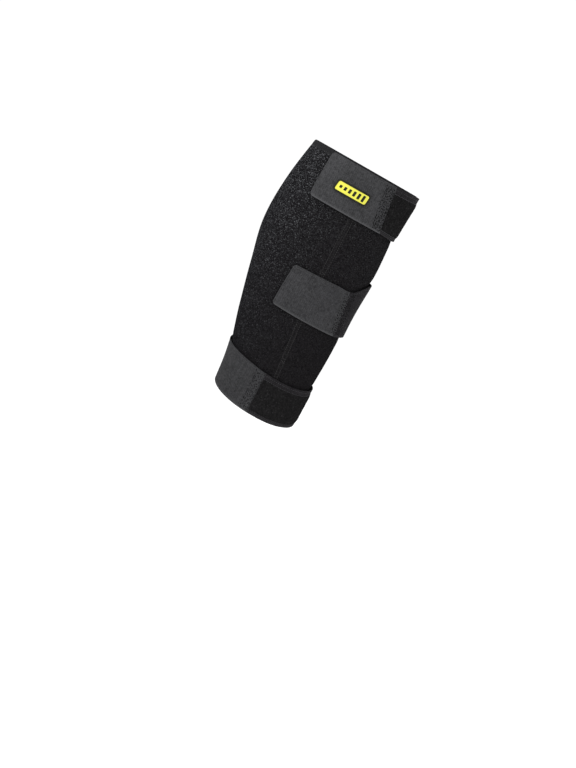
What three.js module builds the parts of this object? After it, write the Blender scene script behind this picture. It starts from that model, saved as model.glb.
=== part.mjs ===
// Calf compression sleeve for a right leg, in the form it has when it is worn.
// Millimetres. +Z points up the leg, +X to the shin, -Y to the outer side of the leg.
// The origin is on the leg's axis, level with the lowest place of the sleeve's lower edge.
import * as THREE from 'three';

// Driving sizes of the wrap
const sleeveLength = 300;
const calfDepth = 140;
const wallThickness = 3.5;
const layerGap = 0.3;
const edgeMargin = 1.4;
const hemRise = 4;

// Angles are in degrees about the leg's axis: 0 at the shin, negative on the outer side
const innerFlapEnd = 76;
const flapEdge = 40;
const flapRise = 28;

// Driving sizes of what is sewn to the wrap
const strapThickness = 1.5;
const strapDescent = 18;
const topStrapWidth = 50;
const middleStrapWidth = 50;
const bottomStrapWidth = 50;
const middleStrapHeight = 154;
const tabCornerRadius = 4;
const hookPadThickness = 0.9;
const hookPadMargin = 2.5;
const loopPatchThickness = 1;
const loopPatchLowerBorder = 5;
const loopPatchUpperBorder = 7.5;
const loopPatchCornerRadius = 2;
const badgeLength = 35.2;
const badgeHeight = 13.2;
const badgeThickness = 0.8;
const badgeCornerRadius = 3.4;
const badgeAngle = -86;
const badgeDrop = 28.5;

// Fineness of the meshes
const wrapColumnAngle = 6;
const wrapRows = 18;
const strapRows = 5;
const strapColumnsPerLine = 6;
const trimRows = 4;
const cornerSteps = 3;

// Leg sections from the ankle end up, at even heights. front, back and breadth are shares of
// calfDepth: the reach of the sleeve's outer face ahead of and behind the axis, and across it.
const legSections = [
  { front: 0.466, back: 0.288, breadth: 0.72 },
  { front: 0.444, back: 0.33, breadth: 0.71 },
  { front: 0.442, back: 0.423, breadth: 0.784 },
  { front: 0.426, back: 0.507, breadth: 0.852 },
  { front: 0.433, back: 0.577, breadth: 0.926 },
  { front: 0.407, back: 0.566, breadth: 0.902 },
  { front: 0.417, back: 0.503, breadth: 0.866 },
];

// How far the lower edge rises, in shares of hemRise, at even angles from the shin (0 degrees)
// over the inner side (90) and the calf (180) to the outer side (270)
const lowerHem = [0.1, 0.25, 0.4, 0.7, 1, 0.95, 0.6, 0.03];

// How much narrower than an ellipse a section is towards the shin
const shinTaper = 0.07;

// Each strap is a row of cross lines from its free tab to its root. lowAngle and highAngle are
// where a line meets the two long edges, and low and high are heights in shares of the strap's
// width, from its nominal lower edge. lowLift and highLift say how far the strap stands off the
// wrap there, in shares of wallThickness. stitchLine is the cross line at the end of the tab.
const straps = {
  top: {
    width: topStrapWidth,
    lowerEdge: sleeveLength - edgeMargin - topStrapWidth,
    stitchLine: 2,
    lines: [
      { lowAngle: -117, highAngle: -123, low: 0, high: 0.99, lowLift: 0, highLift: 0 },
      { lowAngle: -81, highAngle: -90, low: 0, high: 0.99, lowLift: 0, highLift: 0 },
      { lowAngle: -42, highAngle: -54, low: -0.015, high: 0.99, lowLift: 0.1, highLift: 0 },
      { lowAngle: -16, highAngle: -22, low: -0.055, high: 1.005, lowLift: 0.45, highLift: 0.35 },
      { lowAngle: 12, highAngle: 10, low: -0.05, high: 1.02, lowLift: 0.45, highLift: 0.35 },
      { lowAngle: 42, highAngle: 42, low: -0.02, high: 1.02, lowLift: 0.1, highLift: 0 },
      { lowAngle: 71, highAngle: 71, low: 0, high: 1.01, lowLift: 0, highLift: 0 },
    ],
  },
  middle: {
    width: middleStrapWidth,
    lowerEdge: middleStrapHeight - middleStrapWidth / 2,
    stitchLine: 3,
    lines: [
      { lowAngle: -108, highAngle: -100, low: 0, high: 1, lowLift: 0, highLift: 0 },
      { lowAngle: -82, highAngle: -78, low: -0.02, high: 1.01, lowLift: 0, highLift: 0 },
      { lowAngle: -55, highAngle: -57, low: -0.05, high: 1.01, lowLift: 0.1, highLift: 0 },
      { lowAngle: -28, highAngle: -37, low: -0.09, high: 1, lowLift: 0.45, highLift: 0.1 },
      { lowAngle: -6, highAngle: -14, low: -0.09, high: 1.22, lowLift: 0.85, highLift: 0.5 },
      { lowAngle: 18, highAngle: 16, low: -0.09, high: 1.24, lowLift: 0.65, highLift: 0.5 },
      { lowAngle: 43, highAngle: 43, low: -0.08, high: 1.16, lowLift: 0.1, highLift: 0.1 },
      { lowAngle: 71, highAngle: 71, low: -0.08, high: 1.14, lowLift: 0, highLift: 0 },
    ],
  },
  bottom: {
    width: bottomStrapWidth,
    lowerEdge: edgeMargin,
    stitchLine: 4,
    lines: [
      { lowAngle: -192, highAngle: -194, low: 0.1, high: 1.17, lowLift: 0, highLift: 0 },
      { lowAngle: -166, highAngle: -167, low: 0.1, high: 1.16, lowLift: 0, highLift: 0 },
      { lowAngle: -139, highAngle: -139, low: 0.085, high: 1.15, lowLift: 0, highLift: 0 },
      { lowAngle: -115, highAngle: -113, low: 0.07, high: 1.12, lowLift: 0, highLift: 0 },
      { lowAngle: -91, highAngle: -88, low: 0.045, high: 1.065, lowLift: 0, highLift: 0 },
      { lowAngle: -61, highAngle: -60, low: 0.01, high: 1.02, lowLift: 0, highLift: 0.1 },
      { lowAngle: -28, highAngle: -28, low: 0, high: 1.01, lowLift: 0.05, highLift: 0.55 },
      { lowAngle: 8, highAngle: 8, low: 0.01, high: 1.02, lowLift: 0, highLift: 0.4 },
      { lowAngle: 42, highAngle: 42, low: 0.02, high: 1.02, lowLift: 0, highLift: 0.1 },
      { lowAngle: 71, highAngle: 71, low: 0.02, high: 1.02, lowLift: 0, highLift: 0 },
    ],
  },
};

const materials = {
  neoprene: { color: 0x2a2a2b, roughness: 0.95 },
  elastic: { color: 0x47474a, roughness: 0.85 },
  loop: { color: 0x1f1f20, roughness: 1 },
  hook: { color: 0x1a1a1b, roughness: 0.8 },
  badge: { color: 0xffee38, roughness: 0.45 },
};

// The height a flap stands above the wrap's plain outer face where two layers lie
const flapStep = wallThickness + layerGap;

// The smooth curve from start to end, where t goes from 0 to 1, through its two neighbours
function smoothBetween(before, start, end, after, t) {
  const startSlope = (end - before) / 2;
  const endSlope = (after - start) / 2;
  const bend = 3 * (end - start) - 2 * startSlope - endSlope;
  const twist = 2 * (start - end) + startSlope + endSlope;
  return start + t * (startSlope + t * (bend + t * twist));
}

// A smooth curve through evenly spaced values, read at a share from 0 to 1 of its length
function smoothAt(values, share) {
  const place = THREE.MathUtils.clamp(share, 0, 1) * (values.length - 1);
  const index = Math.min(Math.floor(place), values.length - 2);
  const [start, end] = [values[index], values[index + 1]];
  const before = values[index - 1] ?? 2 * start - end;
  const after = values[index + 2] ?? 2 * end - start;
  return smoothBetween(before, start, end, after, place - index);
}

// The same for values spread evenly round a whole turn
function smoothAround(values, angle) {
  const place = (THREE.MathUtils.euclideanModulo(angle, 360) / 360) * values.length;
  const index = Math.floor(place);
  const value = (step) => values[(index + step + values.length) % values.length];
  return smoothBetween(value(-1), value(0), value(1), value(2), place - index);
}

function columnAt(table, name, share) {
  return smoothAt(table.map((row) => row[name]), share);
}

// The point at an angle and height, an offset outside the outer face of the wrap
function legPoint(angle, height, offset) {
  const share = height / sleeveLength;
  const front = calfDepth * columnAt(legSections, 'front', share);
  const back = calfDepth * columnAt(legSections, 'back', share);
  const halfBreadth = (calfDepth * columnAt(legSections, 'breadth', share)) / 2;
  const halfDepth = (front + back) / 2;
  const turn = THREE.MathUtils.degToRad(angle);
  const [cos, sin] = [Math.cos(turn), Math.sin(turn)];
  const across = halfBreadth * (cos * (1 - shinTaper * cos) + shinTaper * sin * sin);
  const along = -halfDepth * sin;
  const normalLength = Math.hypot(across, along);
  return new THREE.Vector3(
    (front - back) / 2 + halfDepth * cos + (offset * across) / normalLength,
    halfBreadth * sin * (1 - shinTaper * cos) - (offset * along) / normalLength,
    height,
  );
}

// A closed sheet over the leg. place(u, v) gives the angle and height of a point of the sheet, and
// under(u, v) and over(u, v) the offsets of its two faces. columns and rows list the u and v used.
function sheetGeometry({ columns, rows, place, under, over }) {
  const positions = [];
  for (const face of [under, over]) {
    for (const u of columns) {
      for (const v of rows) {
        const { angle, height } = place(u, v);
        positions.push(...legPoint(angle, height, face(u, v)).toArray());
      }
    }
  }
  const [lastColumn, lastRow] = [columns.length - 1, rows.length - 1];
  const vertex = (side, column, row) => (side * columns.length + column) * rows.length + row;
  const triangles = [];
  const quad = (a, b, c, d) => triangles.push(a, b, c, a, c, d);
  for (let i = 0; i < lastColumn; i++) {
    for (let j = 0; j < lastRow; j++) {
      quad(vertex(0, i, j), vertex(0, i, j + 1), vertex(0, i + 1, j + 1), vertex(0, i + 1, j));
      quad(vertex(1, i, j), vertex(1, i + 1, j), vertex(1, i + 1, j + 1), vertex(1, i, j + 1));
    }
    quad(vertex(0, i, 0), vertex(0, i + 1, 0), vertex(1, i + 1, 0), vertex(1, i, 0));
    quad(
      vertex(0, i, lastRow),
      vertex(1, i, lastRow),
      vertex(1, i + 1, lastRow),
      vertex(0, i + 1, lastRow),
    );
  }
  for (let j = 0; j < lastRow; j++) {
    quad(vertex(0, 0, j), vertex(1, 0, j), vertex(1, 0, j + 1), vertex(0, 0, j + 1));
    quad(
      vertex(0, lastColumn, j),
      vertex(0, lastColumn, j + 1),
      vertex(1, lastColumn, j + 1),
      vertex(1, lastColumn, j),
    );
  }
  const geometry = new THREE.BufferGeometry();
  geometry.setAttribute('position', new THREE.Float32BufferAttribute(positions, 3));
  geometry.setIndex(triangles);
  geometry.computeVertexNormals();
  return geometry;
}

// Even shares from one value to another, both included
function evenly(from, to, count) {
  return Array.from({ length: count + 1 }, (_, i) => from + ((to - from) * i) / count);
}

function named(name, geometry, finish) {
  const mesh = new THREE.Mesh(geometry, new THREE.MeshStandardMaterial({ ...finish, metalness: 0 }));
  mesh.name = name;
  return mesh;
}

function lowerEdgeAt(angle) {
  return hemRise * smoothAround(lowerHem, angle);
}

// The wrap starts at the end of its inner flap, goes over the shin and round the calf, and climbs
// over that end to its free flap edge, so its angle runs on past a whole turn
function neopreneWrap() {
  const lastAngle = flapEdge - 360;
  const columnCount = Math.ceil((innerFlapEnd - lastAngle) / wrapColumnAngle);
  const riseEnd = innerFlapEnd + 3 - 360;
  const lift = (angle) => flapStep * THREE.MathUtils.smoothstep(-angle, -riseEnd - flapRise, -riseEnd);
  return sheetGeometry({
    columns: evenly(innerFlapEnd, lastAngle, columnCount).reverse(),
    rows: evenly(0, 1, wrapRows),
    place: (angle, v) => ({ angle, height: THREE.MathUtils.lerp(lowerEdgeAt(angle), sleeveLength, v) }),
    under: (angle) => lift(angle) - wallThickness,
    over: (angle) => lift(angle),
  });
}

// A place on a strap: u runs along it from the tab to the root, v across it from its lower edge
function strapPlace(strap, u, v) {
  const low = strap.lowerEdge + strap.width * columnAt(strap.lines, 'low', u);
  const high = strap.lowerEdge + strap.width * columnAt(strap.lines, 'high', u);
  const lowAngle = columnAt(strap.lines, 'lowAngle', u);
  const highAngle = columnAt(strap.lines, 'highAngle', u);
  return {
    angle: THREE.MathUtils.lerp(lowAngle, highAngle, v),
    height: THREE.MathUtils.lerp(low, high, v),
  };
}

// The share of a strap's lines at which its tab ends
function stitchShare(strap) {
  return strap.stitchLine / (strap.lines.length - 1);
}

// A strap's size along its length and across it at a share u, to turn lengths into shares
function strapSpan(strap, u) {
  const step = 1e-3;
  const point = (a, b) => {
    const { angle, height } = strapPlace(strap, a, b);
    return legPoint(angle, height, 0);
  };
  const start = Math.min(u, 1 - step);
  return {
    along: point(start, 0.5).distanceTo(point(start + step, 0.5)) / step,
    across: point(u, 0).distanceTo(point(u, 1)),
  };
}

// The offset of a strap's inner face: it lies on the wrap, on its hook pad at the tab and on the
// flap at its root, and stands off a little over the shin
function strapUnder(strap, u, v) {
  const { angle } = strapPlace(strap, u, v);
  const onFlap = flapStep * THREE.MathUtils.smoothstep(angle, flapEdge - strapDescent, flapEdge - 1);
  const tabEnd = stitchShare(strap);
  const padFall = 10 / strapSpan(strap, tabEnd).along;
  const offPad = THREE.MathUtils.smoothstep(u, tabEnd, tabEnd + padFall);
  const onPad = (hookPadThickness + layerGap) * (1 - offPad);
  const lowLift = columnAt(strap.lines, 'lowLift', u);
  const highLift = columnAt(strap.lines, 'highLift', u);
  return layerGap + onFlap + onPad + wallThickness * THREE.MathUtils.lerp(lowLift, highLift, v);
}

function strapOver(strap, u, v) {
  return strapUnder(strap, u, v) + strapThickness;
}

// Shares from one end to another, with extra ones where a rounded corner turns
function roundedShares(from, to, count, radius, roundFrom, roundTo) {
  const turns = evenly(0, Math.PI / 2, cornerSteps);
  const start = roundFrom ? turns.map((turn) => from + radius * (1 - Math.cos(turn))) : [from];
  const end = roundTo ? turns.map((turn) => to - radius * (1 - Math.cos(turn))).reverse() : [to];
  const inner = evenly(start[start.length - 1], end[0], count).slice(1, -1);
  return [...start, ...inner, ...end];
}

// How far a rounded corner of a radius draws an edge in, at a distance from the end
function cornerInset(distance, radius) {
  const left = Math.max(0, radius - Math.max(0, distance));
  return radius - Math.sqrt(radius * radius - left * left);
}

// A sheet in a strap's own places, from u0 to u1 and inside the strap's edges by two borders
function onStrap(strap, sheet) {
  const { u0, u1, lowBorder, highBorder, radius, roundFrom, roundTo } = sheet;
  const { count, rowCount, under, over } = sheet;
  const span = strapSpan(strap, u0);
  const place = (u, v) => {
    const fromStart = roundFrom ? cornerInset((u - u0) * span.along, radius) : 0;
    const fromEnd = roundTo ? cornerInset((u1 - u) * span.along, radius) : 0;
    const inset = Math.max(fromStart, fromEnd);
    const across = strapSpan(strap, u).across;
    return [u, THREE.MathUtils.lerp((lowBorder + inset) / across, 1 - (highBorder + inset) / across, v)];
  };
  return sheetGeometry({
    columns: roundedShares(u0, u1, count, radius / span.along, roundFrom, roundTo),
    rows: evenly(0, 1, rowCount),
    place: (u, v) => strapPlace(strap, ...place(u, v)),
    under: (u, v) => under(...place(u, v)),
    over: (u, v) => over(...place(u, v)),
  });
}

function elasticStrap(strap) {
  return onStrap(strap, {
    u0: 0,
    u1: 1,
    lowBorder: 0,
    highBorder: 0,
    radius: tabCornerRadius,
    roundFrom: true,
    roundTo: false,
    count: strapColumnsPerLine * (strap.lines.length - 1),
    rowCount: strapRows,
    under: (u, v) => strapUnder(strap, u, v),
    over: (u, v) => strapOver(strap, u, v),
  });
}

function hookPad(strap) {
  return onStrap(strap, {
    u0: hookPadMargin / strapSpan(strap, 0).along,
    u1: stitchShare(strap),
    lowBorder: hookPadMargin,
    highBorder: hookPadMargin,
    radius: tabCornerRadius,
    roundFrom: true,
    roundTo: false,
    count: 4 * strap.stitchLine,
    rowCount: trimRows,
    under: () => layerGap,
    over: () => layerGap + hookPadThickness,
  });
}

function loopPatch(strap, lastLine) {
  return onStrap(strap, {
    u0: stitchShare(strap),
    u1: lastLine / (strap.lines.length - 1),
    lowBorder: loopPatchLowerBorder,
    highBorder: loopPatchUpperBorder,
    radius: loopPatchCornerRadius,
    roundFrom: false,
    roundTo: true,
    count: 5 * (lastLine - strap.stitchLine),
    rowCount: trimRows,
    under: (u, v) => strapOver(strap, u, v) + layerGap,
    over: (u, v) => strapOver(strap, u, v) + layerGap + loopPatchThickness,
  });
}

// The badge lies on the top tab, level, with its middle at badgeAngle
function badge() {
  const middleHeight = sleeveLength - badgeDrop;
  const reach = legPoint(badgeAngle, middleHeight, 0);
  const degreesPerLength = THREE.MathUtils.radToDeg(1 / Math.hypot(reach.x, reach.y));
  const tabFace = 2 * layerGap + hookPadThickness + strapThickness;
  const halfHeightAt = (distance) => {
    const fromEnd = badgeLength / 2 - Math.abs(distance);
    return badgeHeight / 2 - cornerInset(fromEnd, badgeCornerRadius);
  };
  return sheetGeometry({
    columns: roundedShares(-badgeLength / 2, badgeLength / 2, 10, badgeCornerRadius, true, true),
    rows: evenly(-1, 1, 2),
    place: (distance, v) => ({
      angle: badgeAngle + distance * degreesPerLength,
      height: middleHeight + v * halfHeightAt(distance),
    }),
    under: () => tabFace + layerGap,
    over: () => tabFace + layerGap + badgeThickness,
  });
}

const sleeve = new THREE.Group();
sleeve.add(named('neoprene_wrap', neopreneWrap(), materials.neoprene));
for (const [place, strap] of Object.entries(straps)) {
  sleeve.add(named(`${place}_strap`, elasticStrap(strap), materials.elastic));
  sleeve.add(named(`${place}_hook_pad`, hookPad(strap), materials.hook));
}
sleeve.add(named('top_loop_patch', loopPatch(straps.top, 4.5), materials.loop));
sleeve.add(named('bottom_loop_patch', loopPatch(straps.bottom, 7.5), materials.loop));
sleeve.add(named('badge', badge(), materials.badge));

export default sleeve;
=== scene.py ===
# The dressed calf compression sleeve, in metres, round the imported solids
import math

import bpy
import numpy as np
from mathutils import Matrix, Vector


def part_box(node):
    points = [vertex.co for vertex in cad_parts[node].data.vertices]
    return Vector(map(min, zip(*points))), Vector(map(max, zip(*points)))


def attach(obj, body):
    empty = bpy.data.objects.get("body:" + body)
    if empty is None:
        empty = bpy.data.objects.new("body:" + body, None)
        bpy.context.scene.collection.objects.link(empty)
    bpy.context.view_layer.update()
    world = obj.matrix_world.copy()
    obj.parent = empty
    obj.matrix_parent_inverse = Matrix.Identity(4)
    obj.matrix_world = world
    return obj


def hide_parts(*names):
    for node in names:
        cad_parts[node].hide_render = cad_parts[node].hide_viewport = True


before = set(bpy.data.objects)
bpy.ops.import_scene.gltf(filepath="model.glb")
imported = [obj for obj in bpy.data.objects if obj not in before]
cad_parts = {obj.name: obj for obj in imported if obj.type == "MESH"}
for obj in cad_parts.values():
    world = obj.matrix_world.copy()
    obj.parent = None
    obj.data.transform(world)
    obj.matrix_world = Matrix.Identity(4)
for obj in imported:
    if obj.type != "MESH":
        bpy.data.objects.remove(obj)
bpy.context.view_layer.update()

MM = 0.001

# Sizes of the real sleeve in millimetres and angles in degrees. Its length is read from the frame.
SLEEVE_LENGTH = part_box("neoprene_wrap")[1][2] / MM
CALF_DEPTH = 140
WALL = 3.5
LAYER_GAP = 0.3
EDGE_MARGIN = 1.4
HEM_RISE = 4
INNER_FLAP_END = 76
FLAP_EDGE = 40
FLAP_RISE = 28
STRAP_THICKNESS = 1.5
STRAP_DESCENT = 18
TAB_CORNER = 4
HOOK_PAD_THICKNESS = 0.9
HOOK_PAD_MARGIN = 2.5
LOOP_PATCH_THICKNESS = 1.0
LOOP_PATCH_LOWER_BORDER = 5
LOOP_PATCH_UPPER_BORDER = 7.5
BADGE_LENGTH = 35.2
BADGE_HEIGHT = 13.2
BADGE_THICKNESS = 0.8
BADGE_CORNER = 3.4
BADGE_ANGLE = -86
BADGE_DROP = 28.5

# Softness that the plain solids leave out, in millimetres
HEM_HEIGHT = 6
HEM_DIP = 0.3
PAD_FALL = 10
STRAP_PRESS = 0.9
PRESS_REACH = 9
PRESS_INSIDE = 2
# Degrees before and after a tab's tip over which its strap's press sets in, and round the flap edge
# over which it ends
PRESS_START = (8, 3)
PRESS_END = (14, 4)
LOOP_TAPER = 4
LOOP_SEAT = 0.05

# The badge's upright bars, by half their length, and the width of its black edge
BADGE_BARS = [1.5, 1.9, 2.3, 2.7, 3.1, 3.5]
BADGE_BAR_HALF_WIDTH = 1.3
BADGE_BAR_SPACING = 4.7
BADGE_BAR_CORNER = 0.5
BADGE_RIM = 1.8
BADGE_ROUNDING = 0.35
BADGE_STEP = 0.22

# Stitching in millimetres: distances from an edge, lengths of a stitch with its gap, and thread radii
STITCH_INSET = 2.6
STITCH_PITCH = 2.6
HEM_PITCH = 2.8
PATCH_PITCH = 2.4
PATCH_ROW_OFFSET = 0.7
FLAP_ROW_INSET = 4
FLAP_ROW_END = 8
SEAM_HALF_ZIGZAG = 2.0
SEAM_HALF_ROWS = 2.2
SEAM_PITCH = 2.4
SEAM_ZIGZAG_PITCH = 1.9
COLUMN_PITCH = 2.7
COLUMNS = ((1.6, 6.2), (5.6, 10.4))
ROOT_BOX_NEAR = 3
ROOT_BOX_FAR = 26
NEEDLE_LIFT = 0.1
EDGE_RADIUS = 0.22
HEM_RADIUS = 0.2
SEAM_RADIUS = 0.26
COLUMN_RADIUS = 0.3
PATCH_RADIUS = 0.3
NEEDLE_RADIUS = 0.5

# Leg sections from the ankle end up, at even heights, in shares of CALF_DEPTH
LEG_FRONT = [0.466, 0.444, 0.442, 0.426, 0.433, 0.407, 0.417]
LEG_BACK = [0.288, 0.33, 0.423, 0.507, 0.577, 0.566, 0.503]
LEG_BREADTH = [0.72, 0.71, 0.784, 0.852, 0.926, 0.902, 0.866]
SHIN_TAPER = 0.07
LOWER_HEM = [0.1, 0.25, 0.4, 0.7, 1, 0.95, 0.6, 0.03]

# Cross lines of each strap from its tab to its root: the angles of its lower and upper edge, their
# heights in shares of its width, and how far they stand off the wrap in shares of WALL. The tab ends
# at the cross line stitch_line. Its needle holes, drawn as dark marks of painted shade, lie from near
# to far millimetres before it.
STRAPS = {
    "top": {
        "width": 50,
        "lower_edge": SLEEVE_LENGTH - EDGE_MARGIN - 50,
        "stitch_line": 2,
        "tab_elastic_ends": 0,
        "needle_hole_shade": {"near": 1.2, "far": 10.8, "spacing": 1.9},
        "low_angle": [-117, -81, -42, -16, 12, 42, 71],
        "high_angle": [-123, -90, -54, -22, 10, 42, 71],
        "low": [0, 0, -0.015, -0.055, -0.05, -0.02, 0],
        "high": [0.99, 0.99, 0.99, 1.005, 1.02, 1.02, 1.01],
        "low_lift": [0, 0, 0.1, 0.45, 0.45, 0.1, 0],
        "high_lift": [0, 0, 0, 0.35, 0.35, 0, 0],
    },
    "middle": {
        "width": 50,
        "lower_edge": 154 - 25,
        "stitch_line": 3,
        "tab_elastic_ends": -5,
        "needle_hole_shade": {"near": -6, "far": 8.8, "spacing": 2.6},
        "low_angle": [-108, -82, -55, -28, -6, 18, 43, 71],
        "high_angle": [-100, -78, -57, -37, -14, 16, 43, 71],
        "low": [0, -0.02, -0.05, -0.09, -0.09, -0.09, -0.08, -0.08],
        "high": [1, 1.01, 1.01, 1, 1.22, 1.24, 1.16, 1.14],
        "low_lift": [0, 0, 0.1, 0.45, 0.85, 0.65, 0.1, 0],
        "high_lift": [0, 0, 0, 0.1, 0.5, 0.5, 0.1, 0],
    },
    "bottom": {
        "width": 50,
        "lower_edge": EDGE_MARGIN,
        "stitch_line": 4,
        "tab_elastic_ends": 0,
        "needle_hole_shade": {"near": 1.2, "far": 11.6, "spacing": 2.7},
        "low_angle": [-192, -166, -139, -115, -91, -61, -28, 8, 42, 71],
        "high_angle": [-194, -167, -139, -113, -88, -60, -28, 8, 42, 71],
        "low": [0.1, 0.1, 0.085, 0.07, 0.045, 0.01, 0, 0.01, 0.02, 0.02],
        "high": [1.17, 1.16, 1.15, 1.12, 1.065, 1.02, 1.01, 1.02, 1.02, 1.02],
        "low_lift": [0, 0, 0, 0, 0, 0, 0.05, 0, 0, 0],
        "high_lift": [0, 0, 0, 0, 0, 0.1, 0.55, 0.4, 0.1, 0],
    },
}
FLAP_STEP = WALL + LAYER_GAP


def smooth_between(before, start, end, after, t):
    """The smooth curve from start to end, where t goes from 0 to 1, through its two neighbours."""
    start_slope = (end - before) / 2
    end_slope = (after - start) / 2
    bend = 3 * (end - start) - 2 * start_slope - end_slope
    twist = 2 * (start - end) + start_slope + end_slope
    return start + t * (start_slope + t * (bend + t * twist))


def smooth_at(values, share):
    """A smooth curve through evenly spaced values, read at shares of its length."""
    ends = [2 * values[0] - values[1], *values, 2 * values[-1] - values[-2]]
    table = np.array(ends, float)
    place = np.clip(share, 0, 1) * (len(values) - 1)
    index = np.minimum(np.floor(place).astype(int), len(values) - 2)
    return smooth_between(*(table[index + step] for step in range(4)), place - index)


def smooth_around(values, angle):
    """The same for values spread evenly round a whole turn."""
    table = np.array(values, float)
    place = np.mod(angle / 360, 1) * len(values)
    index = np.floor(place).astype(int)
    around = [table[(index + step) % len(values)] for step in (-1, 0, 1, 2)]
    return smooth_between(*around, place - index)


def smoothstep(value, low, high):
    t = np.clip((value - low) / (high - low), 0, 1)
    return t * t * (3 - 2 * t)


def leg_point(angle, height, offset):
    """Points in metres at angles in degrees and heights and offsets in millimetres."""
    angle, height, offset = np.broadcast_arrays(angle, height, offset)
    share = height / SLEEVE_LENGTH
    front = CALF_DEPTH * smooth_at(LEG_FRONT, share)
    back = CALF_DEPTH * smooth_at(LEG_BACK, share)
    half_breadth = CALF_DEPTH * smooth_at(LEG_BREADTH, share) / 2
    half_depth = (front + back) / 2
    turn = np.radians(angle)
    cos, sin = np.cos(turn), np.sin(turn)
    across = half_breadth * (cos * (1 - SHIN_TAPER * cos) + SHIN_TAPER * sin * sin)
    along = -half_depth * sin
    length = np.hypot(across, along)
    x = (front - back) / 2 + half_depth * cos + offset * across / length
    y = half_breadth * sin * (1 - SHIN_TAPER * cos) - offset * along / length
    return np.stack([x, y, height], -1) * MM


def strap_place(strap, u, v):
    """Angle and height on a strap: u from its tab to its root, v up from its lower edge."""
    low = strap["lower_edge"] + strap["width"] * smooth_at(strap["low"], u)
    high = strap["lower_edge"] + strap["width"] * smooth_at(strap["high"], u)
    low_angle = smooth_at(strap["low_angle"], u)
    high_angle = smooth_at(strap["high_angle"], u)
    return low_angle + (high_angle - low_angle) * v, low + (high - low) * v


def strap_on_leg(strap, u, v):
    """Points in metres under a strap, on the plain leg."""
    return leg_point(*strap_place(strap, u, v), 0)


def line_share(strap, line):
    """How far along a strap one of its cross lines lies, from 0 at its tab to 1 at its root."""
    return line / (len(strap["low"]) - 1)


def stitch_share(strap):
    """How far along a strap its tab ends."""
    return line_share(strap, strap["stitch_line"])


def strap_span(strap, u):
    """Millimetres along a strap for a whole u, and across it for a whole v, at u."""
    step = 1e-3
    start = np.minimum(u, 1 - step)
    run = strap_on_leg(strap, start + step, 0.5) - strap_on_leg(strap, start, 0.5)
    rise = strap_on_leg(strap, u, 1.0) - strap_on_leg(strap, u, 0.0)
    return np.linalg.norm(run, axis=-1) / step / MM, np.linalg.norm(rise, axis=-1) / MM


def squeeze(angle, height):
    """How far the straps press the soft wrap in, in millimetres, as a negative offset."""
    turn = np.mod(angle + 288, 360) - 288
    pressed = np.zeros(np.broadcast(turn, height).shape)
    for strap in STRAPS.values():
        u = np.linspace(0, 1, 200)
        mid_angle, _ = strap_place(strap, u, 0.5)
        _, low = strap_place(strap, u, 0.0)
        _, high = strap_place(strap, u, 1.0)
        low_here = np.interp(turn, mid_angle, low)
        high_here = np.interp(turn, mid_angle, high)
        inside = smoothstep(height, low_here - PRESS_REACH, low_here + PRESS_INSIDE)
        inside = inside * (1 - smoothstep(height, high_here - PRESS_INSIDE, high_here + PRESS_REACH))
        inside = inside * smoothstep(turn, mid_angle[0] - PRESS_START[0], mid_angle[0] + PRESS_START[1])
        inside = inside * (1 - smoothstep(turn, FLAP_EDGE - PRESS_END[0], FLAP_EDGE + PRESS_END[1]))
        pressed = np.maximum(pressed, inside)
    return -STRAP_PRESS * pressed


def strap_under(strap, u, v):
    """The offset of a strap's inner face."""
    angle, height = strap_place(strap, u, v)
    on_flap = FLAP_STEP * smoothstep(angle, FLAP_EDGE - STRAP_DESCENT, FLAP_EDGE - 1)
    tab_end = stitch_share(strap)
    pad_fall = PAD_FALL / strap_span(strap, np.float64(tab_end))[0]
    on_pad = (HOOK_PAD_THICKNESS + LAYER_GAP) * (1 - smoothstep(u, tab_end, tab_end + pad_fall))
    low_lift = smooth_at(strap["low_lift"], u)
    high_lift = smooth_at(strap["high_lift"], u)
    lift = WALL * (low_lift + (high_lift - low_lift) * v)
    return LAYER_GAP + on_flap + on_pad + lift + squeeze(angle, height)


def corner_inset(distance, radius):
    """How far a rounded corner draws an edge in, at a distance from the end."""
    left = np.clip(radius - np.maximum(0, distance), 0, None)
    return radius - np.sqrt(np.maximum(0, radius * radius - left * left))


def graded(length, edge, step):
    """Distances from 0 to length, fine within the rounded edge at both ends."""
    turns = np.linspace(0, math.pi / 2, 5)
    near = edge * (1 - np.cos(turns))
    middle = np.linspace(edge, length - edge, max(2, round((length - 2 * edge) / step)))
    return np.concatenate([near, middle[1:-1], length - near[::-1]])


def rim(distance, edge):
    """The share of a sheet's thickness that a rounded edge leaves, at a distance from it."""
    t = np.clip(1 - distance / edge, 0, 1)
    return np.sqrt(np.maximum(0, 1 - t * t))


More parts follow.
